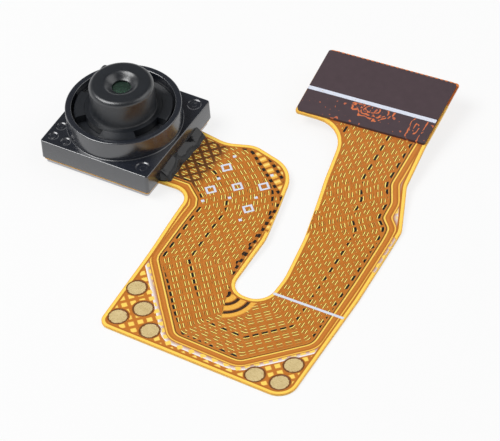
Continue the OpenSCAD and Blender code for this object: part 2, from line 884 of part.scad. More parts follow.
module stiffener_shape() {
    w = end_w - 2 * stiffener_inset;
    l = end_l - tab_l - stiffener_inset;
    end_frame()
        polygon(rounded([
            [-w / 2, stiffener_inset - end_l / 2, end_r],
            [w / 2, stiffener_inset - end_l / 2, 0.1],
            [w / 2, stiffener_inset - end_l / 2 + l, 0.1],
            [-w / 2, stiffener_inset - end_l / 2 + l, 0.1]
        ]));
}

module stiffener_glue() {
    color([0.5, 0.3, 0.15])
        bent(flex_t, stiffener_z, [1])
            stiffener_shape();
}

module end_stiffener() {
    color([0.25, 0.19, 0.21])
        bent(stiffener_z, stiffener_z + stiffener_t, [1])
            stiffener_shape();
}

// Printed lines

module ink_end_line() {
    w = end_w - 2 * stiffener_inset;
    top = stiffener_z + stiffener_t;
    color("white")
        bent(top, top + ink_t, [1])
            end_frame()
                translate([-w / 2, -end_line_back - end_line_w / 2])
                    square([w, end_line_w]);
}

module ink_arm_line() {
    color("white")
        bent(flex_t, flex_t + ink_t, [1])
            translate([arm_b_x0 + line_inset[0], slot_y + line_rise])
                square([arm_b_w - line_inset[0] - line_inset[1], arm_line_w]);
}

// Plain diamonds and dots, which say nothing
module ink_marks() {
    color("white")
        bent(flex_t, flex_t + ink_t, [-1])
            for (column = mark_columns, i = [0:column[2] - 1])
                translate([arm_a_x0 + column[0] + mark_lean * i, column[1] - mark_pitch * i])
                    mark(i + column[2]);
}

module mark(i) {
    rotate(45)
        if (i % 2 == 0)
            difference() {
                square(mark_size, center = true);
                square(mark_size - 2 * mark_stroke, center = true);
            }
        else
            square(1.5 * mark_stroke, center = true);
}

base_plate();
base_plate_glue();
cover_film_bottom();
copper_bottom();
core_film();
signal_traces();
guard_traces();
corner_mesh();
board_lands();
cover_film_top();
test_pads();
contact_fingers();
contact_tabs();
stiffener_glue();
end_stiffener();
ink_end_line();
ink_arm_line();
ink_marks();
die_glue();
image_sensor();
bond_wires();
capacitors();
infrared_filter();
foot_glue();
lens_holder();
lens_barrel();
front_lens();
front_shade();
second_lens();
middle_shade();
third_lens();
spacer_ring();
rear_lens();
retaining_ring();
exit_glue_bead();
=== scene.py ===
import math

import bmesh
import bpy
import numpy as np
from mathutils import Matrix, Vector


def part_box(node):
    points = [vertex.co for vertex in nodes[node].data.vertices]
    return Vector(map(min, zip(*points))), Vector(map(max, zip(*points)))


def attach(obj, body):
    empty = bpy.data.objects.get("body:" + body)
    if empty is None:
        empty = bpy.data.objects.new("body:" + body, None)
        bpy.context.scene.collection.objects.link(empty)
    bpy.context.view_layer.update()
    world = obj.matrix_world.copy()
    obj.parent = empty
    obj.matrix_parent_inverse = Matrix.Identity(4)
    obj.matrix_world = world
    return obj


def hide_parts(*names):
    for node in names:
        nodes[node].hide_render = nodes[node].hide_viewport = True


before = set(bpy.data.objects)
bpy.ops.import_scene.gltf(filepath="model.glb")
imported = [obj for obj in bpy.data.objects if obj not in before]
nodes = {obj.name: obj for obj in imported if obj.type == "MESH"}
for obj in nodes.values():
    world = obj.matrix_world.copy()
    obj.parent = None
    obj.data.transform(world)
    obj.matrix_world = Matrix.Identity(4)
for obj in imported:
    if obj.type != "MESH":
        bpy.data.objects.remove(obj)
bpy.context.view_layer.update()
MM = 0.001

# Steel base plate. A stamped sheet of stainless steel, 0.2 mm thick, closes the
# underside of the camera. A thin grey glue holds it to the circuit.


def seen(r, g, b):
    """A colour given as it is seen, 0 to 255, as linear light: (c + 0.055) / 1.055 to
    the power 2.4, or c / 12.92 in the dark."""
    c = np.array([r, g, b]) / 255
    lin = np.where(c > 0.04045, ((c + 0.055) / 1.055) ** 2.4, c / 12.92)
    return (*map(float, lin), 1.0)


def finish(name, **sockets):
    """A new node material, with sockets of its shader set by name."""
    m = bpy.data.materials.new(name)
    m.use_nodes = True
    shader = m.node_tree.nodes["Principled BSDF"]
    for key, value in sockets.items():
        shader.inputs[key.replace("_", " ")].default_value = value
    return m


def add(m, kind, inputs=(), **settings):
    """A node of the material m. Each input is a number, a colour or another socket."""
    n = m.node_tree.nodes.new(kind)
    for key, value in settings.items():
        setattr(n, key, value)
    for key, value in dict(inputs).items():
        if isinstance(value, bpy.types.NodeSocket):
            m.node_tree.links.new(value, n.inputs[key])
        else:
            n.inputs[key].default_value = value
    return n


def place(m):
    """Where a point of the surface lies, in the frame of the object."""
    return add(m, "ShaderNodeTexCoord").outputs["Object"]


def grain(m, size, detail=3.0, where=None, stretch=(1, 1, 1)):
    """Noise from 0 to 1 with features of the given size in metres."""
    at = where or place(m)
    at = add(m, "ShaderNodeMapping", {"Vector": at, "Scale": stretch}).outputs[0]
    n = add(m, "ShaderNodeTexNoise", {"Vector": at, "Scale": 1 / size, "Detail": detail})
    return n.outputs["Fac"]


def calc(m, how, a, b=0.0):
    """One sum on two numbers or sockets."""
    return add(m, "ShaderNodeMath", {0: a, 1: b}, operation=how).outputs[0]


def step(m, value, start, end):
    """0 below start, 1 above end, and a smooth S between them."""
    n = add(m, "ShaderNodeMapRange", {"Value": value, "From Min": start, "From Max": end},
            interpolation_type="SMOOTHSTEP")
    return n.outputs["Result"]


def mix(m, share, a, b):
    """The colour a where share is 0, and b where it is 1."""
    n = add(m, "ShaderNodeMix", {"Factor": share, "A": a, "B": b}, data_type="RGBA")
    return n.outputs["Result"]


def feed(m, socket, value):
    """Links a value to a socket of the material's shader."""
    m.node_tree.links.new(value, m.node_tree.nodes["Principled BSDF"].inputs[socket])


def relief(m, height, depth):
    """Bumps of the given depth in metres where height goes from 0 to 1."""
    n = add(m, "ShaderNodeBump", {"Height": height, "Distance": depth, "Strength": 1.0})
    feed(m, "Normal", n.outputs["Normal"])


def mottled(name, size, dark, light, **sockets):
    """A node material whose colour drifts between two tones, in patches of the given
    size in metres."""
    m = finish(name, **sockets)
    feed(m, "Base Color", mix(m, grain(m, size), seen(*dark), seen(*light)))
    return m


def dress(m, *names):
    """The CAD nodes that are named take the material m."""
    for n in names:
        nodes[n].data.materials.clear()
        nodes[n].data.materials.append(m)


steel = finish("brushed_steel", Metallic=1.0, Roughness=0.32)
steel_grain = grain(steel, 0.00004, stretch=(1, 12, 1))
feed(steel, "Base Color", mix(steel, steel_grain, seen(150, 150, 154), seen(205, 205, 208)))
relief(steel, steel_grain, 2e-6)
grey_glue = mottled("grey_glue", 0.0001, (88, 88, 90), (120, 120, 122), Roughness=0.7)
dress(steel, "base_plate")
dress(grey_glue, "base_plate_glue", "die_glue")

# Copper of the flexible circuit. Traces are etched in a foil on top of the core film
# and a net in a second foil below it. What stays bare of film is plated with gold.
copper = mottled("copper_foil", 0.0002, (190, 105, 45), (220, 140, 75), Metallic=1.0, Roughness=0.35)
gold = mottled("gold_plate", 0.0001, (225, 180, 95), (245, 210, 130), Metallic=1.0, Roughness=0.25)
dress(copper, "copper_bottom", "signal_traces", "guard_traces", "corner_mesh")
dress(gold, "board_lands", "contact_fingers", "bond_wires")

# Face of the circuit. The cover film sinks between the copper traces, so their lines show through it
# as fine ribs. Between them, where the copper net on the back is open, rows of short yellow dashes
# are painted light, and a strip of painted shade lies on each side of every dash.
head_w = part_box("lens_holder")[1].x * 2 / MM
neck_l, neck_near, neck_far = 2.03, -2.31, 2.09
arm_a_w, slot_w, arm_b_w = 5.5, 2.3, 4.5
slot_y, cross_w, slot_r, outer_r = -7.76, 5.35, 1.05, 0.65
end_w, end_l, end_turn, end_back, end_y, end_r = 7.95, 4.65, 4.0, 1.88, 8.03, 0.2
flex_t, head_lift, end_slope = 0.13, 0.23, 0.153
half_board = head_w / 2 - 0.08
arm_a_x0 = head_w / 2 + neck_l
arm_a_x1 = arm_a_x0 + arm_a_w
arm_b_x0 = arm_a_x1 + slot_w
arm_b_x1 = arm_b_x0 + arm_b_w
cross_y = slot_y - cross_w
turn = math.radians(end_turn)
end_x_way = np.array([math.cos(turn), math.sin(turn)])
end_y_way = np.array([-math.sin(turn), math.cos(turn)])
end_centre = np.array([arm_b_x0 - end_back, end_y])


def on_end(u, v):
    """A point given along and across the contact end, in millimetres from its middle."""
    return end_centre + u * end_x_way + v * end_y_way


def lift(x, y):
    """Height of the circuit's underside: it rises in an S to the head along the first
    arm, and bends up with the square of the length to a plain slope along the second."""
    ramp = np.linspace(slot_y, -head_w / 2, 7)
    t = (ramp - slot_y) / (ramp[-1] - slot_y)
    first = np.interp(y, ramp, head_lift * t * t * (3 - 2 * t))
    bend = np.linspace(end_y - 9.84, end_y - 4.14, 7)
    run = bend - bend[0]
    second = np.interp(y, bend, end_slope * run**2 / (2 * run[-1]))
    second = second + end_slope * np.maximum(0, y - bend[-1])
    over = head_w / 2 + 0.7
    split = np.interp(y, [slot_y, slot_y + 1, slot_y + 4.45, slot_y + 8.25, over],
                      [arm_b_x0 - slot_w / 2, arm_b_x0 - slot_w / 2, arm_b_x0 - 1.5,
                       arm_b_x0 - 2.55, arm_b_x0 - 3.8])
    split = np.where(y > over, -50, split)
    return np.where(x > split, second, first)


def rounded(corners):
    """A line through corners [x, y, radius], each corner cut by an arc that touches
    both of its sides."""
    out = [np.array([corners[0][:2]], float)]
    for a, p, b in zip(corners[:-2], corners[1:-1], corners[2:]):
        a, at, b, r = np.array(a[:2]), np.array(p[:2]), np.array(b[:2]), p[2]
        u, v = (a - at) / np.linalg.norm(a - at), (b - at) / np.linalg.norm(b - at)
        half = math.acos(np.clip(u @ v, -1, 1)) / 2
        if r <= 0 or half > 1.56:
            out.append(at[None])
            continue
        middle = at + (u + v) / np.linalg.norm(u + v) * r / math.sin(half)
        s = at + u * r / math.tan(half) - middle
        side = 1 if v[0] * u[1] - v[1] * u[0] > 0 else -1
        w = side * (math.pi - 2 * half) * np.linspace(0, 1, 15)
        out.append(middle + np.stack([s[0] * np.cos(w) - s[1] * np.sin(w),
                                      s[0] * np.sin(w) + s[1] * np.cos(w)], 1))
    out.append(np.array([corners[-1][:2]], float))
    return np.concatenate(out)


def along(line, posts, s):
    """Points of a line at s. Whole numbers of s are the points of the line nearest to
    the posts, and the length between two of them is shared evenly."""
    d = np.r_[0, np.cumsum(np.linalg.norm(np.diff(line, axis=0), axis=1))]
    fine = np.linspace(0, d[-1], 4000)
    pts = np.stack([np.interp(fine, d, line[:, k]) for k in (0, 1)], 1)
    at = [fine[np.argmin(((pts - p) ** 2).sum(1))] for p in posts]
    q = np.interp(s, np.arange(len(posts)), at)
    return np.stack([np.interp(q, d, line[:, k]) for k in (0, 1)], 1)


outer_edge = rounded([
    [half_board, -half_board, 0], [half_board, neck_near, 0.1],
    [arm_a_x0 - 0.05, neck_near + 0.05, 1], [arm_a_x0 + 0.46, cross_y + 0.11, outer_r],
    [arm_b_x1 + 0.2, cross_y - 0.4, 1.05], [arm_b_x1 - 0.1, slot_y + 2.45, 9],
    [arm_b_x1 - 0.57, end_y - 7.74, 1.05], [arm_b_x1 - 1.9, end_y - 4.78, 1.35],
    [*on_end(end_w / 2, -end_l / 2), 2], [*on_end(end_w / 2, end_l / 2), 0]])
inner_edge = rounded([
    [half_board, half_board, 0], [half_board, neck_far + 0.14, 0],
    [arm_a_x0 - 0.24, neck_far - 0.13, 1.9], [arm_a_x0 + 1.3, neck_far + 0.4, 1.5],
    [arm_a_x1 - 1.33, neck_far - 0.33, 2.2], [arm_a_x1 - 0.57, slot_y + 6.55, 3],
    [arm_a_x1, slot_y + 4.15, 4], [arm_a_x1, slot_y, slot_r], [arm_b_x0, slot_y, slot_r],
    [arm_b_x0, slot_y + 2.15, 5], [arm_b_x0 - 0.57, slot_y + 5.25, 5],
    [arm_b_x0 - 1.77, end_y - 6.14, 5], [arm_b_x0 - 2.53, end_y - 2.44, 2],
    [*on_end(-end_w / 2, -end_l / 2), end_r], [*on_end(-end_w / 2, end_l / 2), 0]])
posts = [
    ([half_board, neck_near], [half_board, neck_far + 0.14]),
    ([arm_a_x0 - 1, neck_near], [arm_a_x0 - 0.4, neck_far]),
    ([arm_a_x0 - 0.2, neck_near - 0.2], [arm_a_x0 + 2.6, neck_far]),
    ([arm_a_x0, neck_near - 1.2], [arm_a_x1 - 0.75, slot_y + 7]),
    ([arm_a_x0, slot_y + 2], [arm_a_x1, slot_y + 2]),
    ([arm_a_x0 + 0.3, slot_y - 1.2], [arm_a_x1, slot_y + 1]),
    ([arm_a_x0 + 0.5, cross_y + 0.1], [arm_a_x1 + 0.3, slot_y + 0.3]),
    ([arm_a_x1 + 0.7, cross_y - 0.1], [arm_a_x1 + 1, slot_y]),
    ([arm_b_x0 - 0.7, cross_y - 0.2], [arm_b_x0 - 1, slot_y]),
    ([arm_b_x1, cross_y - 0.2], [arm_b_x0 - 0.3, slot_y + 0.3]),
    ([arm_b_x1, slot_y - 1], [arm_b_x0, slot_y + 1]),
    ([arm_b_x1, slot_y + 2.2], [arm_b_x0, slot_y + 2.2]),
    ([arm_b_x1 - 0.5, end_y - 7.9], [arm_b_x0 - 1.2, end_y - 7.9]),
    ([arm_b_x1 - 1.9, end_y - 4.5], [arm_b_x0 - 2.1, end_y - 4.5]),
    (on_end(end_w / 2, -end_l / 2 + 0.2), on_end(-1.6, -end_l / 2 - 0.4)),
    (on_end(end_w / 2, -end_l / 2 + 0.6), on_end(-end_w / 2, -end_l / 2 + 0.6)),
    (on_end(end_w / 2, end_l / 2), on_end(-end_w / 2, end_l / 2))]


def blanket(s, t):
    """Points of the circuit in plan. s runs along it from the neck to the contact end,
    and t runs straight across from the outer edge to the slot's edge."""
    outer = along(outer_edge, [p[0] for p in posts], s)[:, None]
    inner = along(inner_edge, [p[1] for p in posts], s)[:, None]
    return outer + (inner - outer) * t[None, :, None]


def from_line(points, line):
    """Distance of points from a line, positive on the left of the line's run, with the
    place along the line of the nearest point."""
    a, b = line[:-1], line[1:]
    ab = b - a
    size = (ab**2).sum(1)
    start = np.r_[0, np.cumsum(np.sqrt(size))][:-1]
    out, place_on = np.full(len(points), 1e9), np.zeros(len(points))
    for i in range(len(a)):
        ap = points - a[i]
        f = np.clip(ap @ ab[i] / size[i], 0, 1)
        off = ap - f[:, None] * ab[i]
        d = np.hypot(*off.T)
        side = np.where(ab[i, 0] * ap[:, 1] - ab[i, 1] * ap[:, 0] >= 0, 1, -1)
        near = d < np.abs(out)
        out = np.where(near, side * d, out)
        place_on = np.where(near, start[i] + f * math.sqrt(size[i]), place_on)
    return out, place_on


def wrap(name, rings, fields=None, capped=True):
    """A closed surface through closed rings of points (ring, point, xyz) in
    millimetres. Four-sided faces join each ring to the next. The first and last ring
    are capped, or joined to each other when the rings themselves go round."""
    n, m = rings.shape[:2]
    k = np.arange(n * m).reshape(n, m)
    rows = k if capped else np.vstack([k, k[:1]])
    a, b = rows[:-1], rows[1:]
    quads = np.stack([a, b, np.roll(b, -1, 1), np.roll(a, -1, 1)], -1).reshape(-1, 4)
    faces = quads.tolist() + ([k[0].tolist(), k[-1][::-1].tolist()] if capped else [])
    me = bpy.data.meshes.new(name)
    me.from_pydata((rings.reshape(-1, 3) * MM).tolist(), [], faces)
    bm = bmesh.new()
    bm.from_mesh(me)
    bmesh.ops.recalc_face_normals(bm, faces=bm.faces)
    bm.to_mesh(me)
    bm.free()
    me.polygons.foreach_set("use_smooth", np.ones(len(me.polygons), bool))
    me.set_sharp_from_angle(angle=math.radians(40))
    for key, value in (fields or {}).items():
        value = (value.reshape(-1) * MM).astype(np.float32)
        me.attributes.new(key, "FLOAT", "POINT").data.foreach_set("value", value)
    o = bpy.data.objects.new(name, me)
    bpy.context.scene.collection.objects.link(o)
    return o


# Course of the outermost trace, outside which the guard traces run
route = rounded([
    [head_w / 2 - 0.5, neck_near + 0.8, 0], [arm_a_x0 - 0.35, neck_near + 0.8, 0.3],
    [arm_a_x0 + 0.72, neck_near - 0.05, 0.5], [arm_a_x0 + 1.03, neck_near - 0.7, 0.5],
    [arm_a_x0 + 1.03, slot_y + 0.6, 0.6], [arm_a_x1 - 0.72, cross_y + 1.44, 0.4],
    [arm_b_x0 + 0.85, cross_y + 1.24, 0.4], [arm_b_x1 - 0.9, slot_y - 1.4, 0.6],
    [arm_b_x1 - 1.15, slot_y + 3.54, 3], [arm_b_x1 - 1.44, slot_y + 7.13, 0.2],
    [arm_b_x1 - 1.53, slot_y + 7.75, 0.2], [arm_b_x1 - 2.2, slot_y + 8.38, 0.2],
    [arm_b_x1 - 2.3, slot_y + 9.52, 0.2], [arm_b_x1 - 2.97, slot_y + 10.72, 0.3],
    [arm_b_x1 - 3.06, slot_y + 13.1, 0.5], [arm_b_x1 - 3.15, end_y + 3, 0]])
# Course of the last trace on the slot's side of the first arm
last_row = rounded([
    [half_board, neck_far - 0.2, 0], [arm_a_x0 + 1.3, neck_far - 0.2, 0.5],
    [arm_a_x1 - 0.9, slot_y + 7.2, 0.5], [arm_a_x1 - 0.6, slot_y + 4.2, 0.5],
    [arm_a_x1 - 0.55, slot_y + 1.5, 0.5], [arm_a_x1 + 0.1, slot_y - 0.3, 0]])

pad_r = 0.525
pad_spots = np.array([
    [arm_a_x0 + 0.97, cross_y + 3.36], [arm_a_x0 + 2.1, cross_y + 2.14],
    [arm_a_x0 + 1.18, cross_y + 1.04], [arm_a_x0 + 3.27, cross_y + 0.86],
    [arm_b_x1 - 0.79, cross_y + 2.01], [arm_b_x1 - 0.81, cross_y + 0.57],
    [arm_b_x1 - 2.3, cross_y + 0.49]])
film_gap = 0.003
long_n, top_n, under_n = 800, 84, 22
s = np.linspace(0, len(posts) - 1.4, long_n)
plan = blanket(s, np.r_[np.linspace(0, 1, top_n), np.linspace(1, 0, under_n)])
out_way = plan[:, top_n - 1] - plan[:, 0]
out_way /= np.linalg.norm(out_way, axis=1)[:, None]
for j, way in ((0, -1), (top_n - 1, 1), (top_n, 1), (top_n + under_n - 1, -1)):
    plan[:, j] += way * 1.2 * film_gap * out_way
flat = plan.reshape(-1, 2)
shape = plan.shape[:2]
lane = from_line(flat, route)[0].reshape(shape)
bell = np.hanning(9)[1:-1]
bell /= bell.sum()
lane = np.stack([np.convolve(np.pad(c, 3, mode="edge"), bell, "valid") for c in lane.T], 1)
to_outer = np.abs(from_line(flat, outer_edge)[0])
to_inner = np.abs(from_line(flat, inner_edge)[0])
x, y = flat.T
# Along a part of the second arm the film is cut close, and its bare margin is narrow
trimmed = (y > -3.15) & (y < -0.3)
to_outer = np.where(trimmed & (x > arm_b_x0), to_outer * 5, to_outer)
to_inner = np.where(trimmed & (x < arm_b_x0 - 0.6), to_inner * 5, to_inner)
ladder, rung = from_line(flat, last_row)
to_pad = np.min(np.hypot(*(flat[:, None] - pad_spots[None]).transpose(2, 0, 1)), 1)
z = lift(x, y).reshape(shape)
z[:, :top_n] += flex_t + film_gap
z[:, top_n:] -= 0.67 * film_gap
pad_dip = 0.03
z[:, :top_n] -= pad_dip * (to_pad.reshape(shape)[:, :top_n] < pad_r - 0.02)
face = wrap("circuit_cover", np.dstack([plan, z]), {
    "lane": lane, "rim": np.minimum(to_outer, to_inner), "ladder": ladder,
    "rung": rung, "to_pad": to_pad, "slot_side": to_inner,
    "upper": np.broadcast_to(np.arange(top_n + under_n) < top_n, shape) / MM})


def field(m, name):
    """A value that the mesh holds at its points."""
    return add(m, "ShaderNodeAttribute", attribute_name=name).outputs["Fac"]


def both(m, *shares):
    """1 where all of the shares are 1."""
    out = shares[0]
    for other in shares[1:]:
        out = calc(m, "MULTIPLY", out, other)
    return out


def rest_of(m, share):
    """1 where the share is 0."""
    return calc(m, "SUBTRACT", 1.0, share)


def band(m, value, start, end, soft):
    """1 where value lies between start and end."""
    return both(m, step(m, value, start - soft, start + soft),
                rest_of(m, step(m, value, end - soft, end + soft)))


def turns(m, value, length):
    """How far value has gone through its present length, from 0 to 1."""
    return calc(m, "FRACT", calc(m, "DIVIDE", value, length))


def openings(m, pitch, line, soft):
    """1 in the openings of a net of lines at 45 degrees, and 0 on its lines."""
    xyz = add(m, "ShaderNodeSeparateXYZ", {"Vector": place(m)}).outputs
    shares = []
    for way in ("ADD", "SUBTRACT"):
        f = turns(m, calc(m, way, xyz["X"], xyz["Y"]), pitch * math.sqrt(2))
        shares.append(band(m, f, line / pitch / 2, 1 - line / pitch / 2, soft))
    return both(m, *shares)


trace_pitch = 0.199 * MM
net_pitch = 0.51 * MM
woven = finish("woven_traces", Roughness=0.4)
lane, rim, ladder = field(woven, "lane"), field(woven, "rim"), field(woven, "ladder")
rung, to_pad = field(woven, "rung"), field(woven, "to_pad")
opening = openings(woven, net_pitch, 0.17 * MM, 0.05)
across = turns(woven, lane, trace_pitch)
copper_tone = mix(woven, grain(woven, 0.0004), seen(178, 100, 24), seen(205, 124, 38))
colour = mix(woven, opening, copper_tone, seen(205, 128, 40))
# Painted shade: dark strips on both sides of each gap between traces, where the net is open.
painted_shade_flank = calc(woven, "ADD", band(woven, across, 0.16, 0.36, 0.05),
             band(woven, across, 0.64, 0.84, 0.05))
colour = mix(woven, both(woven, painted_shade_flank, opening), colour, seen(78, 44, 2))
# Painted light: a yellow dash in the middle of each such gap.
painted_light_dash = band(woven, across, 0.36, 0.64, 0.06)
colour = mix(woven, both(woven, painted_light_dash, opening), colour, seen(255, 228, 118))
for row in (0.0, 7.0, 19.5):
    at = row * trace_pitch
    dash = both(woven, band(woven, lane, at - 0.07 * MM, at + 0.07 * MM, 0.01 * MM), opening)
    colour = mix(woven, dash, colour, seen(26, 18, 12))
# On the neck, the lines of the net are darker than the traces
xyz = add(woven, "ShaderNodeSeparateXYZ", {"Vector": place(woven)}).outputs
neck = rest_of(woven, step(woven, xyz["X"], 5.2 * MM, 5.8 * MM))
colour = mix(woven, both(woven, neck, rest_of(woven, opening)), colour, seen(96, 54, 10))
# Beyond the last trace, columns of gold squares alternate with black ones
beyond = both(woven, step(woven, ladder, 0.02 * MM, 0.05 * MM),
              rest_of(woven, step(woven, ladder, 1.7 * MM, 1.8 * MM)))
column, storey = turns(woven, ladder, 0.62 * MM), turns(woven, rung, 0.5 * MM)
gold_square = both(woven, band(woven, column, 0.4, 0.95, 0.06),
                   band(woven, storey, 0.14, 0.86, 0.07))
black_square = both(woven, band(woven, column, 0.06, 0.36, 0.04),
                    rest_of(woven, band(woven, storey, 0.26, 0.74, 0.06)))
rungs = mix(woven, gold_square, seen(178, 104, 26), seen(240, 178, 66))
# Painted highlight: a light band across the middle of each gold square.
painted_glint = both(woven, gold_square, band(woven, storey, 0.3, 0.6, 0.1))
rungs = mix(woven, painted_glint, rungs, seen(255, 222, 120))
rungs = mix(woven, black_square, rungs, seen(26, 20, 14))
colour = mix(woven, beyond, colour, rungs)
# Three guard traces outside the outermost trace. Between them run thin lines of painted highlight,
# and a line of painted shade lies along the inner side of the first.
guard_copper_and_painted_light = add(woven, "ShaderNodeValToRGB", {"Fac": calc(woven, "DIVIDE", lane, -1 * MM)})
# Stops from 0.18 to 0.21 are painted shade, and those from 0.25 to 0.3 and from 0.64 to 0.68 are
# painted highlight.
stops = [(0.0, (196, 118, 38)), (0.15, (196, 118, 38)), (0.18, (84, 46, 6)),
         (0.21, (120, 70, 15)), (0.25, (255, 212, 92)), (0.3, (255, 218, 100)),
         (0.33, (190, 112, 36)), (0.45, (206, 126, 44)), (0.6, (178, 102, 26)),
         (0.64, (255, 205, 88)), (0.68, (250, 196, 80)), (0.71, (176, 100, 24)),
         (1.0, (196, 116, 36))]
for at, c in stops[1:]:
    guard_copper_and_painted_light.color_ramp.elements.new(at).color = seen(*c)
guard_copper_and_painted_light.color_ramp.elements[0].color = seen(*stops[0][1])
guard_copper_and_painted_light.color_ramp.elements[-1].color = seen(*stops[-1][1])
outside = rest_of(woven, step(woven, lane, -0.09 * MM, -0.07 * MM))
colour = mix(woven, outside, colour, guard_copper_and_painted_light.outputs["Color"])
# The corner mesh, whose windows let light through
window = both(woven, rest_of(woven, step(woven, lane, -0.76 * MM, -0.73 * MM)),
              openings(woven, net_pitch, 0.21 * MM, 0.07), step(woven, rim, 0.3 * MM, 0.33 * MM),
              step(woven, to_pad, 0.64 * MM, 0.67 * MM))
colour = mix(woven, window, colour, seen(255, 216, 98))
ring = rest_of(woven, step(woven, to_pad, 0.56 * MM, 0.66 * MM))
colour = mix(woven, ring, colour, seen(128, 74, 22))
# The bare margin of film glows along the cut edge
for start, end, tone in ((0.27, 0.31, (184, 106, 28)), (0.17, 0.21, (255, 214, 92)),
                         (0.03, 0.05, (240, 176, 62))):
    margin = rest_of(woven, step(woven, rim, start * MM, end * MM))
    colour = mix(woven, margin, colour, seen(*tone))
# The underside shows the copper net through its film
net = mix(woven, opening, seen(176, 98, 34), seen(236, 172, 62))
net = mix(woven, step(woven, rim, 0.17 * MM, 0.2 * MM), seen(250, 205, 92), net)
colour = mix(woven, step(woven, field(woven, "upper"), 0.4, 0.6), net, colour)
feed(woven, "Base Color", colour)
ribs = both(woven, rest_of(woven, band(woven, across, 0.3, 0.7, 0.15)),
            step(woven, lane, 0.0, 0.05 * MM))
relief(woven, calc(woven, "ADD", ribs, calc(woven, "MULTIPLY", opening, -0.5)), 8e-6)
face.data.materials.append(woven)
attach(face, "root")

# Test pads. Round gold-plated copper pads lie bare in holes of the cover film, whose
# cut edge stands round each of them. Probes of the tester have scratched them. The
# profile is turned about each pad's axis, as radius and height.
pads = finish("pad_gold", Roughness=0.45)
streak = grain(pads, 0.00009, stretch=(1, 3.5, 1))
tone = mix(pads, grain(pads, 0.0004), seen(196, 172, 118), seen(226, 204, 150))
tone = mix(pads, step(pads, streak, 0.5, 0.75), tone, seen(178, 150, 92))
hole = band(pads, field(pads, "radius"), 0.503 * MM, 0.6 * MM, 0.008 * MM)
feed(pads, "Base Color", mix(pads, hole, tone, seen(112, 64, 18)))
relief(pads, streak, 5e-6)
angle = np.linspace(0, 2 * math.pi, 64, endpoint=False)
pad_line = np.array([[0.02, 0.1], [0.592, 0.1], [0.592, 0.129], [0.577, 0.135], [0.535, 0.135],
                     [0.522, 0.131], [0.508, 0.119], [0.49, 0.1175], [0.25, 0.12], [0.02, 0.121]])
for i, spot in enumerate(pad_spots):
    r, z = pad_line[:, :1], pad_line[:, 1:]
    rings = np.dstack([spot[0] + r * np.cos(angle), spot[1] + r * np.sin(angle), z + 0 * angle])
    pad = wrap(f"test_pad_{i + 1}", rings, {"radius": r + 0 * angle})
    pad.data.materials.append(pads)
    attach(pad, "root")
    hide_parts("test_pads")

# Contact end. A dark film stiffens the end of the circuit. Copper shows along its two
# sides, through scratches in it, and as 24 tabs at the cut edge. White ink is printed
# on it and on the arms.
dark_film = finish("dark_film", Roughness=0.5)


def end_place(m):
    """Where a point of the surface lies, along and across the contact end."""
    return add(m, "ShaderNodeMapping", {
        "Vector": place(m), "Location": (*(end_centre * MM), 0), "Rotation": (0, 0, turn)},
        vector_type="TEXTURE").outputs[0]


def loops(m, where, middle, size, period):
    """Distance from the middle of an oval of the given size, 1 at its line, with a
    wobble of the given period."""
    at = add(m, "ShaderNodeMapping", {
        "Vector": where, "Location": (*(np.array(middle) * MM), 0),
        "Scale": (*(np.array(size) * MM), 1)}, vector_type="TEXTURE").outputs[0]
    flat = add(m, "ShaderNodeVectorMath", {0: at, 1: (1, 1, 0)}, operation="MULTIPLY").outputs[0]
    far = add(m, "ShaderNodeVectorMath", {0: flat}, operation="LENGTH").outputs["Value"]
    wave = calc(m, "SUBTRACT", grain(m, period * MM, 1.0, where), 0.5)
    return calc(m, "ADD", far, calc(m, "MULTIPLY", wave, 0.9))


on_it = end_place(dark_film)
v = add(dark_film, "ShaderNodeSeparateXYZ", {"Vector": on_it}).outputs["Y"]
tone = mix(dark_film, grain(dark_film, 0.0004), seen(63, 47, 53), seen(74, 57, 63))
below_line = rest_of(dark_film, step(dark_film, v, -0.82 * MM, -0.79 * MM))
unbroken = step(dark_film, grain(dark_film, 0.00016, 1.0, on_it), 0.4, 0.46)
scratch_half, scratch_soft = 0.07, 0.03
for middle, size, rows in (((0.35, -1.0), (1.15, 0.62), (0.35, 0.66, 1.0)),
                           ((3.05, -1.5), (0.42, 0.95), (0.25, 1.0)),
                           ((-0.2, -0.95), (0.3, 0.4), (1.0,))):
    far = loops(dark_film, on_it, middle, size, 0.5)
    for row in rows:
        line = band(dark_film, far, row - scratch_half, row + scratch_half, scratch_soft)
        scratch = both(dark_film, line, unbroken, below_line)
        tone = mix(dark_film, scratch, tone, seen(214, 112, 62))
speck = both(dark_film, step(dark_film, grain(dark_film, 0.00022, 0.0, on_it), 0.74, 0.78),
             rest_of(dark_film, step(dark_film, v, -0.9 * MM, -0.8 * MM)))
feed(dark_film, "Base Color", mix(dark_film, speck, tone, seen(190, 100, 66)))
relief(dark_film, grain(dark_film, 0.00005), 2e-6)
tab_copper = mottled("tab_copper", 0.0001, (206, 108, 48), (240, 146, 84), Roughness=0.45)
glue_amber = mottled("amber_glue", 0.0002, (196, 104, 40), (232, 132, 56), Roughness=0.5)
ink = finish("white_ink", Roughness=0.6)
worn = grain(ink, 0.00012)
tone = mix(ink, worn, seen(196, 202, 222), seen(232, 236, 245))
feed(ink, "Base Color", mix(ink, step(ink, worn, 0.66, 0.74), tone, seen(198, 176, 150)))
relief(ink, worn, 3e-6)
dress(dark_film, "end_stiffener")
dress(tab_copper, "contact_tabs")
dress(glue_amber, "stiffener_glue")
dress(ink, "ink_end_line", "ink_arm_line", "ink_marks")

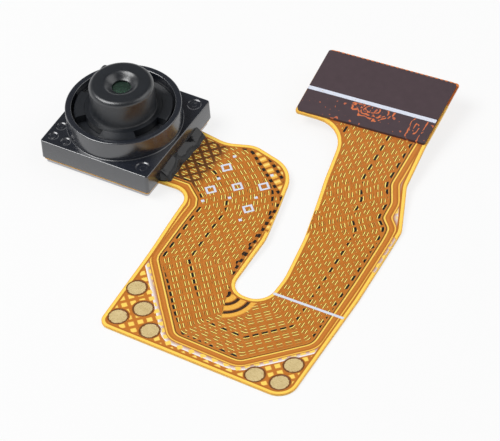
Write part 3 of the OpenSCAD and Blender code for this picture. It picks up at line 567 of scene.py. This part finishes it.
# Films of the circuit. Amber polyimide films are glued on both sides of a thin
# copper-clad core. At the contact end the copper under them turns them orange, and
# between the tabs the dark glue of the stiffener has crept out to the edge.
end_film = finish("end_film", Roughness=0.4)
spot = add(end_film, "ShaderNodeSeparateXYZ", {"Vector": end_place(end_film)}).outputs
amber_tone = mix(end_film, grain(end_film, 0.0006), seen(240, 168, 56), seen(255, 208, 88))
orange_tone = mix(end_film, grain(end_film, 0.0004), seen(204, 106, 38), seen(232, 136, 58))
end_start = -end_l / 2
at_tip = step(end_film, spot["Y"], (end_start + 0.3) * MM, (end_start + 0.6) * MM)
tone = mix(end_film, at_tip, amber_tone, orange_tone)
tab_row = step(end_film, spot["Y"], (end_l / 2 - 0.26) * MM, (end_l / 2 - 0.24) * MM)
sideways = calc(end_film, "ABSOLUTE", spot["X"])
row = both(end_film, tab_row, rest_of(end_film, step(end_film, sideways, 3.55 * MM, 3.6 * MM)))
feed(end_film, "Base Color", mix(end_film, row, tone, seen(66, 44, 46)))
relief(end_film, grain(end_film, 0.00005), 2e-6)
dress(end_film, "core_film", "cover_film_bottom", "cover_film_top")

# Sensor, capacitors and filter inside the head. A silicon sensor is glued on the
# circuit, with ceramic capacitors beside it. A blue-green glass above it keeps
# infrared light out.
silicon = mottled("silicon", 0.0005, (50, 55, 75), (75, 70, 100), Roughness=0.2)
ceramic = mottled("tan_ceramic", 0.00005, (150, 120, 88), (178, 148, 112), Roughness=0.6)
glass_blue = mottled("filter_glass", 0.001, (140, 200, 205), (160, 215, 220),
                     Roughness=0.05, Transmission_Weight=0.8)
dress(silicon, "image_sensor")
dress(ceramic, "capacitors")
dress(glass_blue, "infrared_filter")

# Lens holder. One moulding of black glass-filled plastic: a square foot with round
# ejector marks near its corners, and a round collar that takes the lens barrel.
holder_black = mottled("holder_black", 0.0005, (22, 25, 33), (32, 36, 46), Roughness=0.24, IOR=2.1)
relief(holder_black, grain(holder_black, 0.00005), 1.2e-6)
foot_low, foot_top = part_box("lens_holder")[0].z / MM, 1.6
rim_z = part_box("lens_holder")[1].z / MM
collar_r = head_w / 2 - 0.2
bore_r = collar_r - 0.35
bore_z, roof_z, cavity = foot_top - 0.14, foot_top - 0.42, head_w / 2 - 0.5
corner_r, low_edge, top_edge, fillet, rim_out, rim_in = 0.17, 0.03, 0.06, 0.05, 0.07, 0.06


def square(hx, hy, r, straight=56, bend=14):
    """An oblong outline with round corners, quarter by quarter, each quarter made of
    half a side, the corner's arc and half of the next side."""
    p = np.linspace(0, 1, straight, endpoint=False)
    q = np.linspace(0, math.pi / 2, bend, endpoint=False)
    quarters = []
    for k in range(4):
        a, b = ((hx, hy), (hy, hx))[k % 2]
        u = np.r_[a + 0 * p, a - r + r * np.cos(q), (1 - p) * (a - r)]
        v = np.r_[p * (b - r), b - r + r * np.sin(q), b + 0 * p]
        c, s = ((1, 0), (0, 1), (-1, 0), (0, -1))[k]
        quarters.append(np.stack([c * u - s * v, s * u + c * v], 1))
    return np.concatenate(quarters)


foot_line = square(head_w / 2, head_w / 2, corner_r)
heading = np.arctan2(foot_line[:, 1], foot_line[:, 0])
round_line = np.stack([np.cos(heading), np.sin(heading)], 1)


def level(line, z):
    """A closed ring at one height."""
    return np.column_stack([line, np.full(len(line), z)])


def edge(line_at, z, r, start, end, steps=5):
    """Rings round an edge of radius r. The angle goes from start to end in degrees,
    out from the middle at 0 and up at 90."""
    a = np.radians(np.linspace(start, end, steps))
    return [level(line_at(r * math.cos(t)), z + r * math.sin(t)) for t in a]


def foot_at(inset):
    """The foot's outline, drawn in by inset."""
    return square(head_w / 2 - inset, head_w / 2 - inset, max(corner_r - inset, 0.02))


def circle_at(r):
    """A circle of radius r, with its points at the headings of the foot's outline."""
    return r * round_line


rings = edge(lambda d: foot_at(low_edge - d), foot_low + low_edge, low_edge, -90, 0)
rings += edge(lambda d: foot_at(top_edge - d), foot_top - top_edge, top_edge, 0, 90)
inner, outer = circle_at(collar_r + fillet), foot_at(top_edge)
mark = head_w / 2 - 0.64
marks = [(mark, -mark, 0.4), (mark, mark, 0.4), (-mark, mark, 0.4),
         (-mark - 0.15, -mark + 0.85, 0.3), (-mark - 0.15, -mark, 0.3),
         (-mark + 0.7, -mark - 0.1, 0.3)]
for w in np.linspace(0, 1, 44)[1:]:
    line = outer + (inner - outer) * w
    dip = np.zeros(len(line))
    for mx, my, mr in marks:
        far = np.hypot(line[:, 0] - mx, line[:, 1] - my)
        dip -= 0.045 * np.clip((mr - far) / 0.05, 0, 1)
        dip += 0.02 * np.clip(1 - np.abs(far - 0.45 * mr) / 0.06, 0, 1)
    rings.append(np.column_stack([line, foot_top + np.minimum(dip, 0)]))
rings += edge(lambda d: circle_at(collar_r + fillet - d), foot_top + fillet, fillet, -90, 0)
rings += edge(lambda d: circle_at(collar_r - rim_out + d), rim_z - rim_out, rim_out, 0, 90)
rings += edge(lambda d: circle_at(bore_r + rim_in - d), rim_z - rim_in, rim_in, 90, 0)
rings += [level(circle_at(bore_r), bore_z)]
# From the bore down: the window, the seat of the filter round it, and the cavity
filter_x, filter_y, sill, seat_gap, seat_z = cavity - 0.75, cavity - 1.1, 0.35, 0.03, roof_z + 0.12
for grow, z in ((-sill, bore_z), (-sill, seat_z), (seat_gap, seat_z), (seat_gap, roof_z)):
    rings.append(level(square(filter_x + grow, filter_y + grow, 0.02), z))
rings += [level(square(cavity, cavity, 0.02), z) for z in (roof_z, foot_low)]
holder = wrap("holder_moulding", np.array(rings), capped=False)
holder.data.materials.append(holder_black)
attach(holder, "root")
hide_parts("lens_holder")

# Lens barrel. A turned-looking moulding of matte black plastic: a nose with a dish round
# the aperture, and a flange with four key notches by which it is screwed to focus.
barrel_black = mottled("barrel_black", 0.0005, (20, 23, 28), (30, 34, 40), Roughness=0.33, IOR=1.8)
relief(barrel_black, grain(barrel_black, 0.00004), 1.5e-6)
nose_r, nose_z, flange_r = 1.8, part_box("lens_barrel")[1].z / MM, bore_r - 0.15
flange_z, barrel_z = rim_z - 0.12, bore_z + 0.12
dish_r, dish_depth, aperture_r = 1.02, 0.3, 0.525
notch_r, notch_depth, notch_way, notch_half, notch_wall = 2.15, 0.45, 68, 22.5, 0.8
# The turned profile, as radius, height and how far a notch lowers the point
r = np.linspace(dish_r, aperture_r, 12)
w = (dish_r - r) / (dish_r - aperture_r)
line = [[a, nose_z - dish_depth * b, 0] for a, b in zip(r, w * w * (2.2 - 1.2 * w))]
line += [[aperture_r, nose_z - 0.38, 0], [0.9, nose_z - 0.38, 0], [0.9, nose_z - 0.48, 0]]
z = nose_z - 0.48
for seat, deep in ((1.1, 0.36), (1.3, 0.43), (1.48, 0.62)):
    line += [[seat, z, 0], [seat, z - deep, 0]]
    z -= deep
line += [[2.0, z, 0], [2.0, barrel_z, 0],
         [bore_r - 0.02, barrel_z, 0], [bore_r - 0.02, flange_z - 0.5, 0],
         [flange_r, flange_z - 0.5, 0], [flange_r, flange_z - 0.05, 1],
         [flange_r - 0.05, flange_z, 1], [notch_r + 0.02, flange_z, 1],
         [notch_r, flange_z - 0.02, 1], [notch_r, flange_z, 0], [2.06, flange_z, 0],
         [2.0, flange_z - 0.03, 0], [1.86, flange_z - 0.03, 0], [nose_r, flange_z + 0.05, 0]]
nose_edge = 0.28
for t in np.radians(np.linspace(0, 90, 9)):
    line.append([nose_r - nose_edge * (1 - math.cos(t)), nose_z - nose_edge * (1 - math.sin(t)), 0])
line += [[dish_r + 0.04, nose_z, 0]]
line = np.array(line)
ways = []
for k in range(4):
    start, stop = notch_way - notch_half + 90 * k, notch_way + notch_half + 90 * k
    ways += [start, start + notch_wall, stop - notch_wall, stop]
ways = np.unique(np.r_[np.arange(0, 360, 1.5), np.array(ways) % 360])
off_notch = np.abs((ways - notch_way + 45) % 90 - 45)
deep = np.clip((notch_half - off_notch) / notch_wall, 0, 1) * notch_depth
ways = np.radians(ways)
r, z, lowered = line[:, :1], line[:, 1:2], line[:, 2:]
rings = np.dstack([r * np.cos(ways), r * np.sin(ways), z - lowered * deep])
barrel = wrap("barrel_moulding", rings, capped=False)
barrel.data.materials.append(barrel_black)
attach(barrel, "root")
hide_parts("lens_barrel")
dress(barrel_black, "front_shade", "middle_shade", "spacer_ring", "retaining_ring")

# Lenses. Four small mouldings of clear plastic with a greenish coating lie in the
# barrel. Only the first is seen, through the aperture.
lens_glass = mottled("lens_glass", 0.002, (110, 150, 130), (130, 165, 145),
                     Roughness=0.03, Transmission_Weight=0.9)
dress(lens_glass, "front_lens", "second_lens", "third_lens", "rear_lens")

# Glue bead where the circuit leaves the head. Black epoxy was laid by a needle along the
# foot's side, ran a little over the circuit, and cured with a wavy, glossy skin.
black_glue = mottled("black_glue", 0.0003, (7, 7, 9), (17, 17, 21), Roughness=0.16)
relief(black_glue, grain(black_glue, 0.0003), 1.5e-5)
dress(black_glue, "foot_glue")
bead_low, bead_high = [np.array(c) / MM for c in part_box("exit_glue_bead")]
bead_reach, _, bead_tall = bead_high - bead_low
y = np.linspace(bead_low[1], bead_high[1], 150)[:, None]
w = np.linspace(0, 1, len(y))[:, None]
swell = np.clip(np.minimum(w, 1 - w) / 0.05, 0.02, 1) ** 0.5
reach = bead_reach * swell * (0.9 + 0.06 * np.sin(9 * w + 1) + 0.04 * np.sin(27 * w))
tall = bead_tall * swell * (0.86 + 0.09 * np.sin(6 * w) + 0.05 * np.sin(19 * w + 2))
q = np.linspace(0, 1, 14)
across_it, up_it = np.r_[1 - q, 0, 0.5], np.r_[q**1.15, 0, 0]
bulge = np.r_[0.09 * np.sin(math.pi * q), 0, 0]
x = bead_low[0] + reach * (across_it + bulge)
z = bead_low[2] + tall * (up_it + bulge)
bead = wrap("glue_bead", np.dstack([x, y + 0 * x, z]))
bead.data.materials.append(black_glue)
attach(bead, "root")
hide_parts("exit_glue_bead")

# Floor. A white sheet that the part lies on, bright enough to leave only the shadow.
me = bpy.data.meshes.new("floor")
half, floor_z = 0.4, -2e-5
corners = [(-half, -half), (half, -half), (half, half), (-half, half)]
me.from_pydata([(x, y, floor_z) for x, y in corners], [], [(0, 1, 2, 3)])
floor = bpy.data.objects.new("floor", me)
bpy.context.scene.collection.objects.link(floor)
white = finish("floor_white", Roughness=0.9)
tree = white.node_tree
path = add(white, "ShaderNodeLightPath")
looked_at = calc(white, "MAXIMUM", path.outputs["Is Glossy Ray"], path.outputs["Is Transmission Ray"])
looked_at = calc(white, "MAXIMUM", path.outputs["Is Camera Ray"], looked_at)
glow = add(white, "ShaderNodeEmission", {"Color": (1, 1, 1, 1), "Strength": 1.0})
shader = tree.nodes["Principled BSDF"]
shader.inputs["Base Color"].default_value = (0.8, 0.8, 0.8, 1)
blend = add(white, "ShaderNodeMixShader", {"Fac": calc(white, "MULTIPLY", looked_at, 0.8)})
tree.links.new(shader.outputs[0], blend.inputs[1])
tree.links.new(glow.outputs[0], blend.inputs[2])
tree.links.new(blend.outputs[0], tree.nodes["Material Output"].inputs["Surface"])
me.materials.append(white)

# Light. White all round. What the part mirrors is bright near the horizon and dark
# above, so that its black tops stay dark. Two soft lamps give the shadow its side.
world = bpy.data.worlds.new("studio")
bpy.context.scene.world = world
world.use_nodes = True
wt = world.node_tree
sky = wt.nodes.new("ShaderNodeSeparateXYZ")
wt.links.new(wt.nodes.new("ShaderNodeTexCoord").outputs["Generated"], sky.inputs["Vector"])
low_sky = wt.nodes.new("ShaderNodeMapRange")
low_sky.interpolation_type = "SMOOTHSTEP"
for key, value in (("From Min", 0.12), ("From Max", 0.5), ("To Min", 1.0), ("To Max", 0.07)):
    low_sky.inputs[key].default_value = value
wt.links.new(sky.outputs["Z"], low_sky.inputs["Value"])
rays = wt.nodes.new("ShaderNodeLightPath")
strength = 0.3
for ray, value in (("Is Glossy Ray", low_sky.outputs["Result"]),
                   ("Is Transmission Ray", 1.0), ("Is Camera Ray", 1.0)):
    choice = wt.nodes.new("ShaderNodeMix")
    choice.data_type = "FLOAT"
    wt.links.new(rays.outputs[ray], choice.inputs["Factor"])
    for key, level_in in (("A", strength), ("B", value)):
        if isinstance(level_in, float):
            choice.inputs[key].default_value = level_in
        else:
            wt.links.new(level_in, choice.inputs[key])
    strength = choice.outputs["Result"]
wt.links.new(strength, wt.nodes["Background"].inputs["Strength"])
wt.nodes["Background"].inputs["Color"].default_value = (1, 1, 1, 1)


def lamp(name, way, size, power):
    """A soft square lamp, shining at the middle of the part from a direction."""
    data = bpy.data.lights.new(name, "AREA")
    data.size = size
    data.energy = power
    o = bpy.data.objects.new(name, data)
    bpy.context.scene.collection.objects.link(o)
    way = np.array(way) / np.linalg.norm(way)
    lamp_far, middle_x = 0.25, 0.007
    o.location = way * lamp_far + np.array([middle_x, 0, 0])
    o.rotation_euler = Vector(way).to_track_quat("Z", "Y").to_euler()


lamp("key", (-0.5, -0.3, 1.0), 0.15, 0.5)
lamp("fill", (0.8, 0.5, 0.9), 0.2, 0.18)

# Camera. A long lens, so that parallel edges stay nearly parallel. Its right and up
# ways are given, with the width of the view in millimetres at the part.
right = np.array([0.8636, 0.5014, -0.0702])
up = np.array([-0.3045, 0.6252, 0.7168])
back_way = np.cross(right, up)
view_w, focal, sensor_w = 27.54821, 500, 36
target = (6.727 * right - 4.347 * up) * MM
eye = target + back_way * view_w * MM * focal / sensor_w
cam_data = bpy.data.cameras.new("camera")
cam_data.sensor_width = sensor_w
cam_data.lens = focal
cam_data.clip_start = 0.01
cam = bpy.data.objects.new("camera", cam_data)
bpy.context.scene.collection.objects.link(cam)
cam.matrix_world = Matrix([*np.column_stack([right, up, back_way, eye]).tolist(), [0, 0, 0, 1]])
bpy.context.scene.camera = cam
bpy.context.scene.view_settings.view_transform = "Standard"
